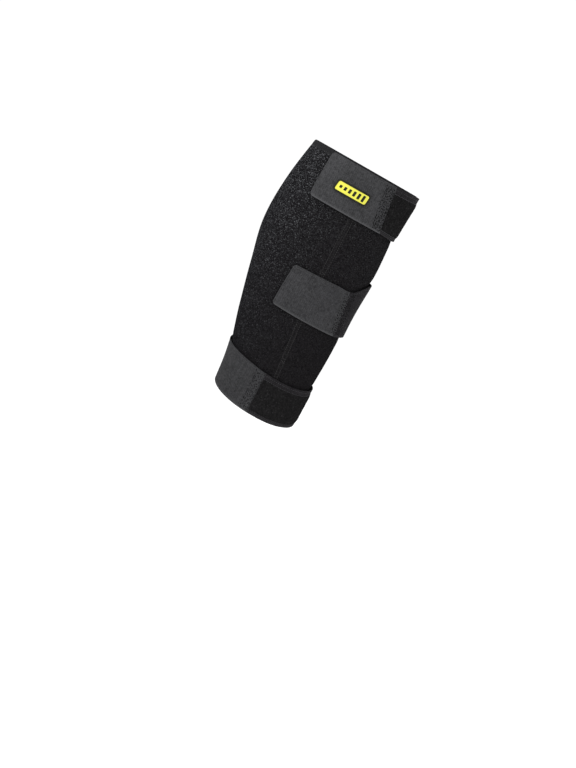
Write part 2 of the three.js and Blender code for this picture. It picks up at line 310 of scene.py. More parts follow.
def sheet_mesh(name, points_over, points_under, cloth_uv, face_slot=None):
    """A closed sheet from two grids of points that share their border."""
    columns, rows = points_over.shape[:2]
    over = np.arange(columns * rows).reshape(columns, rows)
    under = np.full((columns, rows), -1)
    under[0], under[-1], under[:, 0], under[:, -1] = over[0], over[-1], over[:, 0], over[:, -1]
    inner = under < 0
    under[inner] = columns * rows + np.arange(inner.sum())
    points = np.concatenate([points_over.reshape(-1, 3), points_under[inner]])
    uv = np.concatenate([cloth_uv.reshape(-1, 2), cloth_uv[inner]])

    def quads(grid):
        corners = [grid[:-1, :-1], grid[1:, :-1], grid[1:, 1:], grid[:-1, 1:]]
        return np.stack([corner.ravel() for corner in corners], 1)

    faces = np.concatenate([quads(over), quads(under)[:, ::-1]])
    mesh = bpy.data.meshes.new(name)
    mesh.vertices.add(len(points))
    mesh.vertices.foreach_set("co", points.astype(np.float32).ravel())
    mesh.loops.add(len(faces) * 4)
    mesh.loops.foreach_set("vertex_index", faces.astype(np.int32).ravel())
    mesh.polygons.add(len(faces))
    mesh.polygons.foreach_set("loop_start", np.arange(0, len(faces) * 4, 4, dtype=np.int32))
    mesh.polygons.foreach_set("use_smooth", np.ones(len(faces), bool))
    layer = mesh.uv_layers.new(name="cloth")
    layer.uv.foreach_set("vector", uv[faces.ravel()].astype(np.float32).ravel())
    if face_slot is not None:
        mesh.polygons.foreach_set("material_index", np.asarray(face_slot, np.int32))
    mesh.update(calc_edges=True)
    mesh.validate()
    return mesh


def place_piece(name, mesh, node=None, materials=()):
    """Adds a mesh to the sleeve, in the place of the node that it stands for."""
    piece = bpy.data.objects.new(name, mesh)
    bpy.context.scene.collection.objects.link(piece)
    for material in materials:
        mesh.materials.append(material)
    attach(piece, "root")
    if node:
        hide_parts(node)
    return piece


# Materials


class Shading:
    """A procedural material under construction, with short calls for the nodes it needs."""

    def __init__(self, name, roughness, specular):
        self.material = bpy.data.materials.new(name)
        self.material.use_nodes = True
        self.tree = self.material.node_tree
        self.shader = self.tree.nodes["Principled BSDF"]
        self.shader.inputs["Roughness"].default_value = roughness
        self.shader.inputs["Specular IOR Level"].default_value = specular
        self.place = self.node("ShaderNodeTexCoord").outputs["Object"]

    def node(self, kind, **settings):
        made = self.tree.nodes.new(kind)
        for key, value in settings.items():
            setattr(made, key, value)
        return made

    def link(self, source, target):
        self.tree.links.new(source, target)

    def cloth_place(self):
        return self.node("ShaderNodeUVMap", uv_map="cloth").outputs["UV"]

    def noise(self, size, detail=2.0, roughness=0.5):
        """Noise whose blobs are about a size in metres across."""
        made = self.node("ShaderNodeTexNoise")
        self.link(self.place, made.inputs["Vector"])
        made.inputs["Scale"].default_value = 1 / size
        made.inputs["Detail"].default_value = detail
        made.inputs["Roughness"].default_value = roughness
        return made.outputs["Fac"]

    def cells(self, size, randomness=1.0, place=None):
        """Distances from the middle of cells about a size in metres across, and their colours."""
        made = self.node("ShaderNodeTexVoronoi")
        self.link(place or self.place, made.inputs["Vector"])
        made.inputs["Scale"].default_value = 1 / size
        made.inputs["Randomness"].default_value = randomness
        return made.outputs["Distance"], made.outputs["Color"]

    def ruffled(self, size, reach):
        """The place, pushed to and fro by up to about a reach in metres."""
        made = self.node("ShaderNodeTexNoise")
        self.link(self.place, made.inputs["Vector"])
        made.inputs["Scale"].default_value = 1 / size
        made.inputs["Detail"].default_value = 1.0
        push = self.node("ShaderNodeVectorMath", operation="MULTIPLY_ADD")
        self.link(made.outputs["Color"], push.inputs[0])
        push.inputs[1].default_value = (2 * reach, 2 * reach, 2 * reach)
        self.link(self.place, push.inputs[2])
        return push.outputs["Vector"]

    def flecks(self, size, radius, rarity, place=None):
        """Small dots of uneven strength: most are faint, and rarity makes the bright ones few."""
        distance, tint = self.cells(size, place=place)
        strength = self.node("ShaderNodeSeparateColor")
        self.link(tint, strength.inputs["Color"])
        strength = self.sum(strength.outputs["Red"], rarity, "POWER")
        return self.sum(self.spread(distance, radius, radius * 0.35), strength, "MULTIPLY")

    def cloth_axis(self, axis):
        """How far along or across its cloth a place is, in metres."""
        parts = self.node("ShaderNodeSeparateXYZ")
        self.link(self.cloth_place(), parts.inputs["Vector"])
        return parts.outputs[axis]

    def ribs(self, pitch, direction, distortion=0.4):
        """Even ribs across the cloth's own place, a pitch in metres apart."""
        made = self.node("ShaderNodeTexWave", bands_direction=direction)
        self.link(self.cloth_place(), made.inputs["Vector"])
        made.inputs["Scale"].default_value = math.pi / 10 / pitch
        made.inputs["Distortion"].default_value = distortion
        made.inputs["Detail"].default_value = 1.0
        made.inputs["Detail Scale"].default_value = 3.0
        return made.outputs["Fac"]

    def spread(self, value, low, high, to_low=0.0, to_high=1.0):
        """A value between low and high, stretched to another range."""
        made = self.node("ShaderNodeMapRange")
        self.link(value, made.inputs["Value"])
        made.inputs["From Min"].default_value = low
        made.inputs["From Max"].default_value = high
        made.inputs["To Min"].default_value = to_low
        made.inputs["To Max"].default_value = to_high
        return made.outputs["Result"]

    def sum(self, first, second, operation="ADD"):
        made = self.node("ShaderNodeMath", operation=operation)
        self.link(first, made.inputs[0])
        if isinstance(second, (int, float)):
            made.inputs[1].default_value = second
        else:
            self.link(second, made.inputs[1])
        return made.outputs["Value"]

    def blend(self, share, first, second):
        """The colour between two colours or colour sockets, at a share."""
        made = self.node("ShaderNodeMix", data_type="RGBA")
        self.link(share, made.inputs["Factor"])
        for socket, colour in ((made.inputs[6], first), (made.inputs[7], second)):
            if isinstance(colour, tuple):
                socket.default_value = (*colour, 1.0)
            else:
                self.link(colour, socket)
        return made.outputs[2]

    def finish(self, colour, relief=(), roughness=None):
        """Links the colour and the bumps, each a height socket and its depth in metres."""
        self.link(colour, self.shader.inputs["Base Color"])
        if roughness is not None:
            self.link(roughness, self.shader.inputs["Roughness"])
        normal = None
        for height, depth in relief:
            bump = self.node("ShaderNodeBump")
            bump.inputs["Distance"].default_value = depth
            self.link(height, bump.inputs["Height"])
            if normal is not None:
                self.link(normal, bump.inputs["Normal"])
            normal = bump.outputs["Normal"]
        if normal is not None:
            self.link(normal, self.shader.inputs["Normal"])
        return self.material


def neoprene_material():
    """Black loop-faced cloth with pale loop tips, painted brighter towards the top and the calf side as
    painted light falling from the upper left.
    """
    look = Shading("loop_faced_neoprene", 1.0, 0.0)
    curled = look.ruffled(0.0006, 0.0005)
    fine = look.flecks(0.00095, 0.55, 3.6, place=curled)
    coarse = look.flecks(0.0015, 0.45, 5.0, place=curled)
    loops = look.noise(0.00095, detail=2.0, roughness=0.7)
    drift = look.noise(0.03, detail=3.0)
    # Painted light: the flecks grow brighter towards the top and the calf side, where the light falls from
    # the upper left.
    height = look.spread(look.cloth_axis("Y"), 0.05, 0.27, 0.25, 1.0)
    calf = look.spread(look.cloth_axis("X"), 0.0, 0.09, 0.22, 1.0)
    nap_and_painted_light = look.sum(height, calf, "MULTIPLY")
    nap_and_painted_light = look.sum(nap_and_painted_light, look.spread(drift, 0.3, 0.7, 0.8, 1.15), "MULTIPLY")
    seam = look.spread(look.sum(look.cloth_axis("X"), 0.0, "ABSOLUTE"), 0.0022, 0.0034, 0.35, 1.0)
    nap_and_painted_light = look.sum(nap_and_painted_light, seam, "MULTIPLY")
    bright = look.sum(look.sum(fine, coarse), nap_and_painted_light, "MULTIPLY")
    pale = look.blend(look.spread(calf, 0.22, 1.0), (0.0188, 0.0176, 0.0187), (0.0102, 0.01, 0.0113))
    ground = look.blend(look.spread(loops, 0.44, 0.6), (0.005, 0.0046, 0.0051), pale)
    ground = look.blend(look.spread(seam, 0.35, 1.0, 0.08, 0.0), ground, (0.036, 0.035, 0.036))
    colour = look.blend(look.spread(bright, 0, 1, 0, 1.0), ground, (0.3, 0.308, 0.327))
    return look.finish(colour, [(drift, 0.0012), (loops, 0.0012), (fine, 0.0006), (coarse, 0.0006)])


def hem_material():
    look = Shading("hem_tape", 0.9, 0.02)
    knit = look.noise(0.0009, detail=2.0)
    drift = look.noise(0.015)
    colour = look.blend(look.spread(knit, 0.35, 0.7), (0.0105, 0.0105, 0.011), (0.0225, 0.0225, 0.024))
    return look.finish(colour, [(drift, 0.0006), (knit, 0.0003)])


def lining_material():
    look = Shading("inner_jersey", 0.9, 0.02)
    rows = look.ribs(0.0012, "X", distortion=1.0)
    knit = look.noise(0.0008, detail=2.0)
    colour = look.blend(knit, (0.01, 0.01, 0.011), (0.022, 0.022, 0.024))
    return look.finish(colour, [(rows, 0.0002), (knit, 0.0002)])


def elastic_material(name, dark, light, edge, fleck):
    """Woven elastic with fine ribs, a paler lower edge and, where it is pulled, dark flecks."""
    look = Shading(name, 0.85, 0.03)
    across = look.ribs(0.0021, "X", distortion=1.0)
    along = look.ribs(0.0012, "Y", distortion=0.7)
    weft = look.ribs(0.0006, "X", distortion=0.5)
    grain = look.noise(0.0026, detail=4.0, roughness=0.8)
    drift = look.noise(0.014, detail=3.0)
    share = look.spread(grain, 0.36, 0.64, 0.0, 0.75)
    share = look.sum(share, look.spread(drift, 0.3, 0.7, 0.0, 0.25))
    share = look.sum(share, look.spread(across, 0, 1, -0.08, 0.08))
    share = look.sum(share, look.spread(along, 0, 1, -0.1, 0.1))
    share = look.sum(share, look.spread(weft, 0, 1, -0.1, 0.1))
    # A paler line along the lower edge.
    pale_lower_edge = look.spread(look.cloth_axis("Y"), 0.001, 0.0024, 0.8, 0.0)
    colour = look.blend(pale_lower_edge, look.blend(share, dark, light), edge)
    pulled = look.spread(look.flecks(0.0019, 0.5, 2.0), 0, 1, 0, fleck)
    colour = look.blend(pulled, colour, (0.003, 0.003, 0.003))
    relief = [(drift, 0.0008), (across, 0.00025), (along, 0.00018), (weft, 0.00012), (grain, 0.0003)]
    return look.finish(colour, relief)


def loop_material():
    look = Shading("brushed_loop_tape", 1.0, 0.0)
    pile = look.noise(0.0016, detail=4.0, roughness=0.75)
    tufts = look.flecks(0.0022, 0.5, 3.0)
    drift = look.noise(0.01, detail=2.0)
    share = look.sum(look.spread(pile, 0.42, 0.72), look.spread(drift, 0.3, 0.7, 0.5, 1.0), "MULTIPLY")
    colour = look.blend(share, (0.007, 0.0068, 0.007), (0.026, 0.0252, 0.0258))
    colour = look.blend(look.spread(tufts, 0, 1, 0, 0.3), colour, (0.075, 0.073, 0.075))
    return look.finish(colour, [(drift, 0.001), (pile, 0.0011), (tufts, 0.0004)])


def hook_material():
    look = Shading("hook_tape", 0.6, 0.2)
    hooks = look.cells(0.0012, randomness=0.25, place=look.cloth_place())[0]
    colour = look.blend(look.spread(hooks, 0.0, 0.6), (0.02, 0.02, 0.021), (0.006, 0.006, 0.0065))
    return look.finish(colour, [(hooks, 0.0006)])


def thread_material(name, dark, light):
    look = Shading(name, 0.7, 0.08)
    twist = look.noise(0.0006, detail=2.0)
    return look.finish(look.blend(twist, dark, light), [(twist, 0.0001)])


def badge_material():
    """Yellow rubber, black where its own map says that a place is near the edge or on a bar."""
    look = Shading("badge_rubber", 0.55, 0.2)
    grain = look.noise(0.0012, detail=3.0)
    drift = look.noise(0.006)
    yellow = look.blend(drift, (0.66, 0.635, 0.07), (0.71, 0.69, 0.085))
    black = look.blend(drift, (0.005, 0.005, 0.003), (0.012, 0.012, 0.006))
    off_edge = look.spread(look.cloth_axis("X"), (BADGE_RIM - 0.05) * MM, (BADGE_RIM + 0.05) * MM)
    off_bars = look.spread(look.cloth_axis("Y"), -0.05 * MM, 0.05 * MM)
    colour = look.blend(look.sum(off_edge, off_bars, "MULTIPLY"), black, yellow)
    return look.finish(colour, [(grain, 0.00006)], look.spread(grain, 0.3, 0.7, 0.45, 0.65))


# Stitching


def thread_mesh(name, starts, ends, normals, radius):
    """Small arched threads from each start to each end, joined in one mesh. Lengths in metres."""
    rings, sides = 5, 6
    t = np.linspace(0, 1, rings)
    arch = np.sin(math.pi * t)
    run = ends - starts
    length = np.linalg.norm(run, axis=1, keepdims=True)
    forward = run / np.maximum(length, 1e-9)
    side = np.cross(forward, normals)
    side /= np.linalg.norm(side, axis=1, keepdims=True)
    up = np.cross(side, forward)
    turn = np.linspace(0, 2 * math.pi, sides, endpoint=False)
    centre = starts[:, None] + run[:, None] * t[None, :, None]
    centre = centre + normals[:, None] * (radius * (1.25 * arch - 0.75))[None, :, None]
    size = radius * (0.45 + 0.55 * arch)
    circle = side[:, None, None] * np.cos(turn)[None, None, :, None]
    circle = circle + up[:, None, None] * np.sin(turn)[None, None, :, None]
    points = centre[:, :, None] + circle * size[None, :, None, None]
    count = len(starts)
    index = np.arange(count * rings * sides).reshape(count, rings, sides)
    after = np.roll(index, -1, axis=2)
    walls = np.stack([index[:, :-1], after[:, :-1], after[:, 1:], index[:, 1:]], -1).reshape(-1, 4)
    caps = [row[::-1].tolist() for row in index[:, 0]] + [row.tolist() for row in index[:, -1]]
    mesh = bpy.data.meshes.new(name)
    mesh.from_pydata(points.reshape(-1, 3).tolist(), [], walls.tolist() + caps)
    mesh.polygons.foreach_set("use_smooth", np.ones(len(mesh.polygons), bool))
    mesh.update()
    return mesh


def resampled(points, pitch):
    """Places at even steps of about a pitch in metres along a line of points, as shares of it."""
    lengths = np.concatenate([[0], np.cumsum(np.linalg.norm(np.diff(points, axis=0), axis=1))])
    count = max(1, round(lengths[-1] / pitch))
    return np.interp(np.linspace(0, lengths[-1], count + 1), lengths, np.linspace(0, 1, len(points)))


class Seams:
    """Collects the stitches that lie on a surface given as surface(a, b, offset)."""

    def __init__(self, surface):
        self.surface = surface
        self.starts, self.ends, self.normals = [], [], []

    def add(self, a0, b0, a1, b1, lift=0.0):
        start, end = self.surface(a0, b0, lift), self.surface(a1, b1, lift)
        middle_a, middle_b = (a0 + a1) / 2, (b0 + b1) / 2
        normal = self.surface(middle_a, middle_b, 1.0) - self.surface(middle_a, middle_b, 0.0)
        normal /= np.linalg.norm(normal, axis=1, keepdims=True)
        self.starts.append(start)
        self.ends.append(end)
        self.normals.append(normal)

    def along(self, line, pitch):
        """The shares t of line(t), from 0 to 1, that lie a pitch in millimetres apart."""
        return resampled(self.surface(*line(np.linspace(0, 1, 200)), 0.0), pitch * MM)

    def row(self, line, pitch=STITCH_PITCH, fill=0.72):
        """Running stitches along line(t), which gives the two places for t from 0 to 1."""
        at = self.along(line, pitch)
        start, end = at[:-1], at[:-1] + np.diff(at) * fill
        a0, b0 = line(start)
        a1, b1 = line(end)
        self.add(a0, b0, a1, b1)

    def zigzag(self, line, other, pitch):
        """Stitches that go to and fro between two lines."""
        at = self.along(line, pitch)
        a_near, b_near = line(at)
        a_far, b_far = other(at)
        odd = np.arange(len(at)) % 2 == 1
        a, b = np.where(odd, a_far, a_near), np.where(odd, b_far, b_near)
        self.add(a[:-1], b[:-1], a[1:], b[1:])

    def mesh(self, name, radius):
        return thread_mesh(
            name,
            np.concatenate(self.starts),
            np.concatenate(self.ends),
            np.concatenate(self.normals),
            radius * MM,
        )


# The wrap

# The angle of the panel seam at even heights from the ankle end up
SEAM_ANGLE = [-75.5, -76, -76, -75, -74, -73, -71]
# Creases of the wrap's outer side: the angle and height where each lies, its length and depth in
# millimetres, and its lean from upright in degrees
CREASES = [
    {"angle": -79, "height": 74, "length": 15, "lean": 50, "depth": 0.5},
    {"angle": -71, "height": 79, "length": 13, "lean": -38, "depth": 0.4},
    {"angle": -83, "height": 84, "length": 12, "lean": 62, "depth": 0.35},
    {"angle": -88, "height": 66, "length": 18, "lean": 74, "depth": 0.35},
    {"angle": -60, "height": 68, "length": 16, "lean": -70, "depth": 0.3},
    {"angle": -74, "height": 186, "length": 14, "lean": 45, "depth": 0.25},
    {"angle": 150, "height": 66, "length": 26, "lean": 80, "depth": 0.5},
    {"angle": 128, "height": 74, "length": 20, "lean": 66, "depth": 0.45},
    {"angle": 178, "height": 78, "length": 24, "lean": -74, "depth": 0.4},
    {"angle": 112, "height": 118, "length": 22, "lean": 58, "depth": 0.35},
    {"angle": 118, "height": 204, "length": 24, "lean": -64, "depth": 0.35},
    {"angle": -150, "height": 74, "length": 20, "lean": 78, "depth": 0.35},
    {"angle": -118, "height": 88, "length": 16, "lean": 60, "depth": 0.25},
]
# Millimetres on the wrap for a degree round the leg, taken as the same at every height
DEGREE = 1.08


def wrap_lift(angle):
    """How far a place of the wrap is lifted over the inner flap."""
    rise_end = INNER_FLAP_END + 3 - 360
    return FLAP_STEP * smoothstep(-angle, -rise_end - FLAP_RISE, -rise_end)


def wrap_lower_edge(angle):
    return HEM_RISE * smooth_around(LOWER_HEM, angle)


def wrap_relief(angle, height):
    """Waves, creases, the panel seam and the hem stitching, in millimetres."""
    turn = np.mod(angle + 200, 360) - 200
    rad = np.radians(turn)
    wave = 0.16 * np.sin(3 * rad + height / 31) + 0.12 * np.sin(5 * rad - height / 19 + 1.3)
    wave = wave + 0.08 * np.sin(9 * rad + height / 12) * np.sin(height / 23 + 0.6)
    across = (turn - smooth_at(SEAM_ANGLE, height / SLEEVE_LENGTH)) * DEGREE
    grooves = np.exp(-(((np.abs(across) - 3.6) / 1.3) ** 2))
    seam = 0.42 * np.exp(-((across / 1.7) ** 2)) - 0.34 * grooves
    puckers = 0.12 * np.exp(-((across / 7) ** 2)) * np.sin(height / 1.35 + 0.6 * np.sin(height / 7))
    creases = 0.0
    for crease in CREASES:
        side = (turn - crease["angle"]) * DEGREE
        rise = height - crease["height"]
        lean = math.radians(crease["lean"])
        along = side * math.sin(lean) + rise * math.cos(lean)
        off = side * math.cos(lean) - rise * math.sin(lean) + 0.012 * along * along
        shape = np.exp(-((off / 1.5) ** 2)) - 0.55 * np.exp(-(((off - 3.0) / 2.2) ** 2))
        creases = creases - crease["depth"] * shape * np.exp(-((along / (crease["length"] / 2)) ** 4))
    top_hem = np.exp(-(((SLEEVE_LENGTH - HEM_HEIGHT - height) / 0.9) ** 2))
    low_hem = np.exp(-(((wrap_lower_edge(angle) + HEM_HEIGHT - height) / 0.9) ** 2))
    return wave + seam + puckers + creases - HEM_DIP * (top_hem + low_hem)


def wrap_outer(angle, height):
    return wrap_lift(angle) + squeeze(angle, height) + wrap_relief(angle, height)


def wrap_point(angle, height, offset):
    return leg_point(angle, height, wrap_outer(angle, height) + offset)


def neoprene_wrap():
    first, last = INNER_FLAP_END, FLAP_EDGE - 360
    length = (first - last) * DEGREE
    across = graded(length, WALL / 2, 1.65)
    up = graded(SLEEVE_LENGTH, WALL / 2, 2.5)
    angle = (first - across / DEGREE)[:, None] + 0 * up[None, :]
    low = wrap_lower_edge(angle)
    height = low + (SLEEVE_LENGTH - low) * up[None, :] / SLEEVE_LENGTH
    from_ends = np.minimum(across, length - across)[:, None]
    edge = np.minimum(from_ends, np.minimum(up, SLEEVE_LENGTH - up)[None, :])
    outer = wrap_outer(angle, height)
    inner = wrap_lift(angle) + squeeze(angle, height) - WALL
    middle, half = (outer + inner) / 2, (outer - inner) / 2 * rim(edge, WALL / 2)
    over = leg_point(angle, height, middle + half)
    under = leg_point(angle, height, middle - half)
    from_seam = (smooth_at(SEAM_ANGLE, height / SLEEVE_LENGTH) - angle) * DEGREE
    cloth = np.stack([from_seam, height], -1) * MM
    middles = (height[:-1, :-1] + height[1:, 1:]) / 2
    lows = low[:-1, :-1]
    hem = (middles > SLEEVE_LENGTH - HEM_HEIGHT) | (middles < lows + HEM_HEIGHT)
    over_slot = np.where(hem, 1, 0).ravel()
    under_slot = np.where(hem, 1, 2).ravel()
    mesh = sheet_mesh("neoprene_wrap_cloth", over, under, cloth, np.concatenate([over_slot, under_slot]))
    looks = [neoprene_material(), hem_material(), lining_material()]
    return place_piece("wrap_cloth", mesh, "neoprene_wrap", looks)


def wrap_stitches(thread):
    seams = Seams(wrap_point)
    seam_low, seam_high = HEM_HEIGHT + 3, SLEEVE_LENGTH - HEM_HEIGHT - 1

    def seam_line(shift):
        def line(t):
            height = seam_low + (seam_high - seam_low) * t
            return smooth_at(SEAM_ANGLE, height / SLEEVE_LENGTH) + shift / DEGREE, height
        return line

    seams.zigzag(seam_line(-SEAM_HALF_ZIGZAG), seam_line(SEAM_HALF_ZIGZAG), SEAM_ZIGZAG_PITCH)
    seams.row(seam_line(-SEAM_HALF_ROWS), SEAM_PITCH, fill=0.75)
    seams.row(seam_line(SEAM_HALF_ROWS), SEAM_PITCH, fill=0.75)
    seam_mesh = seams.mesh("panel_seam", SEAM_RADIUS)
    place_piece("panel_seam_thread", seam_mesh, materials=[thread])

    hems = Seams(wrap_point)
    start, end = INNER_FLAP_END - 2, FLAP_EDGE - 360 + 2
    hems.row(lambda t: (start + (end - start) * t, SLEEVE_LENGTH - HEM_HEIGHT + 0 * t), HEM_PITCH)

    def low_hem(t):
        angle = start + (end - start) * t
        return angle, wrap_lower_edge(angle) + HEM_HEIGHT
    hems.row(low_hem, HEM_PITCH)
    flap = FLAP_EDGE - 360 + FLAP_ROW_INSET / DEGREE
    run = SLEEVE_LENGTH - 2 * FLAP_ROW_END
    hems.row(lambda t: (flap + 0 * t, FLAP_ROW_END + run * t), HEM_PITCH)
    hem_mesh = hems.mesh("hem_stitches", HEM_RADIUS)
    place_piece("hem_thread", hem_mesh, materials=[thread])


# The straps and what is on them


def tab_relief(strap, u, v):
    """The soft waves of a strap's face and the dip that its edge stitching draws."""
    along, across = strap_span(strap, u)
    from_tip, from_edge = u * along, np.minimum(v, 1 - v) * across
    edge = np.minimum(from_tip, from_edge)
    dip = -0.16 * np.exp(-(((edge - STITCH_INSET) / 0.8) ** 2))
    swell = 0.1 * smoothstep(edge, 2.5, 8)
    wave = 0.12 * np.sin(from_tip / 9 + 5 * v) * np.sin(3.1 * v + 0.4 + from_tip / 21)
    return dip + swell + wave


def strap_over(strap, u, v):
    return strap_under(strap, u, v) + STRAP_THICKNESS + tab_relief(strap, u, v)


def strap_point(strap):
    def point(u, v, offset):
        angle, height = strap_place(strap, u, v)
        return leg_point(angle, height, strap_over(strap, u, v) + offset)
    return point


def on_strap(strap, name, u0, u1, under, over, thick, step, radius, borders=(0, 0), rounded=(True, False)):
    """A sheet in a strap's places, from u0 to u1 and inside its edges by two borders. rounded says
    whether the corners at u0 and at u1 are drawn in by the radius."""
    shares = np.linspace(u0, u1, 400)
    along = strap_span(strap, shares)[0]
    travelled = np.concatenate([[0], np.cumsum((along[1:] + along[:-1]) / 2 * np.diff(shares))])
    length = travelled[-1]
    distance = graded(length, thick / 2, step)
    distance = np.unique(np.concatenate([distance, np.linspace(0, radius, 8)[1:-1]]))
    u = np.interp(distance, travelled, shares)
    span = strap_span(strap, u)[1]
    inset = np.zeros(len(u))
    if rounded[0]:
        inset = np.maximum(inset, corner_inset(distance, radius))
    if rounded[1]:
        inset = np.maximum(inset, corner_inset(length - distance, radius))
    width = np.median(span) - sum(borders)
    across = graded(width, thick / 2, step) / width
    low = (borders[0] + inset) / span
    high = 1 - (borders[1] + inset) / span
    v = low[:, None] + (high - low)[:, None] * across[None, :]
    u = u[:, None] + 0 * v
    inner, outer = under(u, v), over(u, v)
    edge_v = np.minimum(across, 1 - across)[None, :] * (high - low)[:, None] * span[:, None]
    edge_u = np.minimum(distance, length - distance)[:, None]
    half = (outer - inner) / 2 * rim(np.minimum(edge_u, edge_v), thick / 2)
    middle = (outer + inner) / 2
    angle, height = strap_place(strap, u, v)
    cloth = np.stack([distance[:, None] + 0 * v, v * span[:, None]], -1) * MM
    outer_points = leg_point(angle, height, middle + half)
    inner_points = leg_point(angle, height, middle - half)
    return sheet_mesh(name, outer_points, inner_points, cloth)


def elastic_strap(place, strap, tab_look, band_look):
    """A whole strap, paler on its tab, which ends tab_elastic_ends millimetres from the stitch line."""
    mesh = on_strap(
        strap, f"{place}_strap_cloth", 0.0, 1.0,
        under=lambda u, v: strap_under(strap, u, v),
        over=lambda u, v: strap_over(strap, u, v),
        thick=STRAP_THICKNESS, step=1.3, radius=TAB_CORNER,
    )
    middles = np.empty(len(mesh.polygons) * 3)
    mesh.polygons.foreach_get("center", middles)
    tab_end = stitch_share(strap)
    tab_end += strap["tab_elastic_ends"] / strap_span(strap, np.float64(tab_end))[0]
    line = strap_on_leg(strap, np.full(2, tab_end), np.array([0.0, 1.0]))
    after = strap_on_leg(strap, tab_end + 0.1, 0.5)
    across = np.cross(line[1] - line[0], line.mean(0) * (1, 1, 0))
    across *= np.sign(np.dot(after - line[0], across))
    past = (middles.reshape(-1, 3) - line[0]) @ across > 0
    mesh.polygons.foreach_set("material_index", past.astype(np.int32))
    looks = [tab_look, band_look]
    place_piece(f"{place}_strap_elastic", mesh, f"{place}_strap", looks)


def hook_pad(place, strap, look):
    start = HOOK_PAD_MARGIN / strap_span(strap, np.float64(0))[0]
    mesh = on_strap(
        strap, f"{place}_hook_cloth", start, stitch_share(strap),
        under=lambda u, v: LAYER_GAP + squeeze(*strap_place(strap, u, v)),
        over=lambda u, v: LAYER_GAP + HOOK_PAD_THICKNESS + squeeze(*strap_place(strap, u, v)),
        thick=HOOK_PAD_THICKNESS, step=2.4, radius=TAB_CORNER, borders=(HOOK_PAD_MARGIN, HOOK_PAD_MARGIN),
    )
    place_piece(f"{place}_hook_tape", mesh, f"{place}_hook_pad", [look])


def patch_stitches(place, strap, last_line, thread):
    """Pale rows on the elastic along the two long edges of a loop patch."""
    start, end = stitch_share(strap), line_share(strap, last_line)
    rows = Seams(strap_point(strap))
    for border, side in ((LOOP_PATCH_LOWER_BORDER, 0), (LOOP_PATCH_UPPER_BORDER, 1)):
        def line(t, border=border, side=side):
            u = start + (end - start) * t
            share = (border - PATCH_ROW_OFFSET) / strap_span(strap, u)[1]
            return u, share if side == 0 else 1 - share
        rows.row(line, PATCH_PITCH, fill=0.8)
    mesh = rows.mesh(f"{place}_patch_rows", PATCH_RADIUS)
    place_piece(f"{place}_patch_thread", mesh, materials=[thread])


def loop_patch(place, strap, last_line, look):
    """Brushed loop tape that thins out towards its long edges."""
    def pile(u, v):
        along, across = strap_span(strap, u)
        x, y = u * along, v * across
        waves = 0.12 * np.sin(x / 1.9 + 2 * np.sin(y / 3.1)) * np.sin(y / 2.3 + 1.5 * np.sin(x / 4.7))
        from_edge = np.minimum(y - LOOP_PATCH_LOWER_BORDER, across - LOOP_PATCH_UPPER_BORDER - y)
        fullness = 0.4 + 0.4 * smoothstep(from_edge, 0, LOOP_TAPER)
        return waves + (LAYER_GAP + LOOP_PATCH_THICKNESS) * fullness

    mesh = on_strap(
        strap, f"{place}_loop_cloth", stitch_share(strap), line_share(strap, last_line),
        under=lambda u, v: strap_over(strap, u, v) + LOOP_SEAT,
        over=lambda u, v: strap_over(strap, u, v) + 2 * LOOP_SEAT + pile(u, v),
        thick=LOOP_PATCH_THICKNESS, step=1.0, radius=2.0,
        borders=(LOOP_PATCH_LOWER_BORDER, LOOP_PATCH_UPPER_BORDER), rounded=(False, True),
    )
    place_piece(f"{place}_loop_tape", mesh, f"{place}_loop_patch", [look])


def needle_hole_shade(strap, seed):
    """Needle holes strewn over the zigzag columns, a little out of step with one another, drawn as dark
    marks: the shade in them is painted.
    """
    marks = Seams(strap_point(strap))
    end = stitch_share(strap)
    along, across = strap_span(strap, np.float64(end))
    near, far, spacing = (strap["needle_hole_shade"][name] for name in ("near", "far", "spacing"))
    columns, rows = round((far - near) / spacing) + 1, round(0.92 * across / spacing)
    chance = np.random.default_rng(seed)
    distance, row = np.meshgrid(np.linspace(near, far, columns), np.arange(rows), indexing="ij")
    distance = (distance + chance.uniform(-0.7, 0.7, distance.shape)).ravel()
    v = 0.04 + 0.92 * ((row + 0.5 + chance.uniform(-0.4, 0.4, row.shape)) / rows).ravel()
    u = end - distance / along
    slant = chance.uniform(-0.45, 0.45, len(u)) / along
    length = chance.uniform(0.35, 0.85, len(u)) / across
    marks.add(u - slant, v - length, u + slant, v + length, NEEDLE_LIFT)
    return marks


